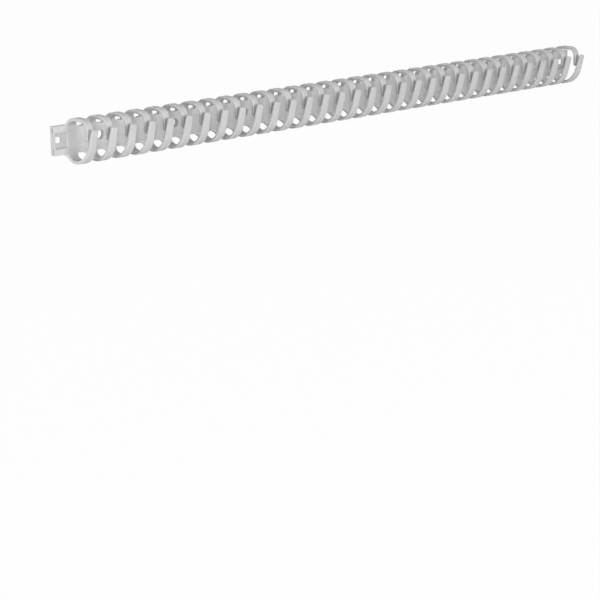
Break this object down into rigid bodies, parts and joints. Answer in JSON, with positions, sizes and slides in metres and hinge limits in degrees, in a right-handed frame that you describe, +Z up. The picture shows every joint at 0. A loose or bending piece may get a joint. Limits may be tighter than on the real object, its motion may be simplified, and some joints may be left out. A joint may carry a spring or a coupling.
{
  "type": "flexible wiring duct",
  "caption": "Flexible open wiring duct: a flat back strip with fixing holes and rows of curled fingers that close around cables and let wires out between them.",
  "frame": {"origin": "on the mounting face, at the axis of the first fixing hole", "axes": "+X along the duct, away from the near end tab; +Y out of the mounting face towards the wall; the fingers curl towards -Y; +Z up across the strip"},
  "size_m": [0.5, 0.0319, 0.03],
  "materials": {
    "duct_plastic": "satin moulded light grey"
  },
  "bodies": {
    "segment_1": {"base_segment_1": "duct_plastic"},
    "upper_1": {"upper_fingers_1": "duct_plastic"},
    "lower_1": {"lower_fingers_1": "duct_plastic"},
    "segment_2": {"base_segment_2": "duct_plastic"},
    "upper_2": {"upper_fingers_2": "duct_plastic"},
    "lower_2": {"lower_fingers_2": "duct_plastic"},
    "segment_3": {"base_segment_3": "duct_plastic"},
    "upper_3": {"upper_fingers_3": "duct_plastic"},
    "lower_3": {"lower_fingers_3": "duct_plastic"},
    "segment_4": {"base_segment_4": "duct_plastic"},
    "upper_4": {"upper_fingers_4": "duct_plastic"},
    "lower_4": {"lower_fingers_4": "duct_plastic"},
    "segment_5": {"base_segment_5": "duct_plastic"},
    "upper_5": {"upper_fingers_5": "duct_plastic"},
    "lower_5": {"lower_fingers_5": "duct_plastic"},
    "segment_6": {"base_segment_6": "duct_plastic"},
    "upper_6": {"upper_fingers_6": "duct_plastic"},
    "lower_6": {"lower_fingers_6": "duct_plastic"},
    "segment_7": {"base_segment_7": "duct_plastic"},
    "upper_7": {"upper_fingers_7": "duct_plastic"},
    "lower_7": {"lower_fingers_7": "duct_plastic"},
    "segment_8": {"base_segment_8": "duct_plastic"},
    "upper_8": {"upper_fingers_8": "duct_plastic"},
    "lower_8": {"lower_fingers_8": "duct_plastic"}
  },
  "joints": [
    {"name": "upper_flex_1", "type": "hinge", "parent": "segment_1", "child": "upper_1", "pos_m": [0, -0.00518, 0.0117], "axis": [1, 0, 0], "range_deg": [0, 15], "stiffness_Nm_per_rad": 0.25},
    {"name": "lower_flex_1", "type": "hinge", "parent": "segment_1", "child": "lower_1", "pos_m": [0, -0.00518, -0.0117], "axis": [1, 0, 0], "range_deg": [0, 15], "stiffness_Nm_per_rad": 0.25},
    {"name": "bend_1", "type": "hinge", "parent": "segment_1", "child": "segment_2", "pos_m": [0.0305, -0.0034, 0], "axis": [0, 0, 1], "range_deg": [-12, 12], "stiffness_Nm_per_rad": 0.3},
    {"name": "upper_flex_2", "type": "hinge", "parent": "segment_2", "child": "upper_2", "pos_m": [0.061, -0.00518, 0.0117], "axis": [1, 0, 0], "range_deg": [0, 15], "stiffness_Nm_per_rad": 0.25},
    {"name": "lower_flex_2", "type": "hinge", "parent": "segment_2", "child": "lower_2", "pos_m": [0.061, -0.00518, -0.0117], "axis": [1, 0, 0], "range_deg": [0, 15], "stiffness_Nm_per_rad": 0.25},
    {"name": "bend_2", "type": "hinge", "parent": "segment_2", "child": "segment_3", "pos_m": [0.0915, -0.0034, 0], "axis": [0, 0, 1], "range_deg": [-12, 12], "stiffness_Nm_per_rad": 0.3},
    {"name": "upper_flex_3", "type": "hinge", "parent": "segment_3", "child": "upper_3", "pos_m": [0.122, -0.00518, 0.0117], "axis": [1, 0, 0], "range_deg": [0, 15], "stiffness_Nm_per_rad": 0.25},
    {"name": "lower_flex_3", "type": "hinge", "parent": "segment_3", "child": "lower_3", "pos_m": [0.122, -0.00518, -0.0117], "axis": [1, 0, 0], "range_deg": [0, 15], "stiffness_Nm_per_rad": 0.25},
    {"name": "bend_3", "type": "hinge", "parent": "segment_3", "child": "segment_4", "pos_m": [0.1525, -0.0034, 0], "axis": [0, 0, 1], "range_deg": [-12, 12], "stiffness_Nm_per_rad": 0.3},
    {"name": "upper_flex_4", "type": "hinge", "parent": "segment_4", "child": "upper_4", "pos_m": [0.183, -0.00518, 0.0117], "axis": [1, 0, 0], "range_deg": [0, 15], "stiffness_Nm_per_rad": 0.25},
    {"name": "lower_flex_4", "type": "hinge", "parent": "segment_4", "child": "lower_4", "pos_m": [0.183, -0.00518, -0.0117], "axis": [1, 0, 0], "range_deg": [0, 15], "stiffness_Nm_per_rad": 0.25},
    {"name": "bend_4", "type": "hinge", "parent": "segment_4", "child": "segment_5", "pos_m": [0.2135, -0.0034, 0], "axis": [0, 0, 1], "range_deg": [-12, 12], "stiffness_Nm_per_rad": 0.3},
    {"name": "upper_flex_5", "type": "hinge", "parent": "segment_5", "child": "upper_5", "pos_m": [0.244, -0.00518, 0.0117], "axis": [1, 0, 0], "range_deg": [0, 15], "stiffness_Nm_per_rad": 0.25},
    {"name": "lower_flex_5", "type": "hinge", "parent": "segment_5", "child": "lower_5", "pos_m": [0.244, -0.00518, -0.0117], "axis": [1, 0, 0], "range_deg": [0, 15], "stiffness_Nm_per_rad": 0.25},
    {"name": "bend_5", "type": "hinge", "parent": "segment_5", "child": "segment_6", "pos_m": [0.2745, -0.0034, 0], "axis": [0, 0, 1], "range_deg": [-12, 12], "stiffness_Nm_per_rad": 0.3},
    {"name": "upper_flex_6", "type": "hinge", "parent": "segment_6", "child": "upper_6", "pos_m": [0.305, -0.00518, 0.0117], "axis": [1, 0, 0], "range_deg": [0, 15], "stiffness_Nm_per_rad": 0.25},
    {"name": "lower_flex_6", "type": "hinge", "parent": "segment_6", "child": "lower_6", "pos_m": [0.305, -0.00518, -0.0117], "axis": [1, 0, 0], "range_deg": [0, 15], "stiffness_Nm_per_rad": 0.25},
    {"name": "bend_6", "type": "hinge", "parent": "segment_6", "child": "segment_7", "pos_m": [0.3355, -0.0034, 0], "axis": [0, 0, 1], "range_deg": [-12, 12], "stiffness_Nm_per_rad": 0.3},
    {"name": "upper_flex_7", "type": "hinge", "parent": "segment_7", "child": "upper_7", "pos_m": [0.366, -0.00518, 0.0117], "axis": [1, 0, 0], "range_deg": [0, 15], "stiffness_Nm_per_rad": 0.25},
    {"name": "lower_flex_7", "type": "hinge", "parent": "segment_7", "child": "lower_7", "pos_m": [0.366, -0.00518, -0.0117], "axis": [1, 0, 0], "range_deg": [0, 15], "stiffness_Nm_per_rad": 0.25},
    {"name": "bend_7", "type": "hinge", "parent": "segment_7", "child": "segment_8", "pos_m": [0.3965, -0.0034, 0], "axis": [0, 0, 1], "range_deg": [-12, 12], "stiffness_Nm_per_rad": 0.3},
    {"name": "upper_flex_8", "type": "hinge", "parent": "segment_8", "child": "upper_8", "pos_m": [0.427, -0.00518, 0.0117], "axis": [1, 0, 0], "range_deg": [0, 15], "stiffness_Nm_per_rad": 0.25},
    {"name": "lower_flex_8", "type": "hinge", "parent": "segment_8", "child": "lower_8", "pos_m": [0.427, -0.00518, -0.0117], "axis": [1, 0, 0], "range_deg": [0, 15], "stiffness_Nm_per_rad": 0.25}
  ]
}
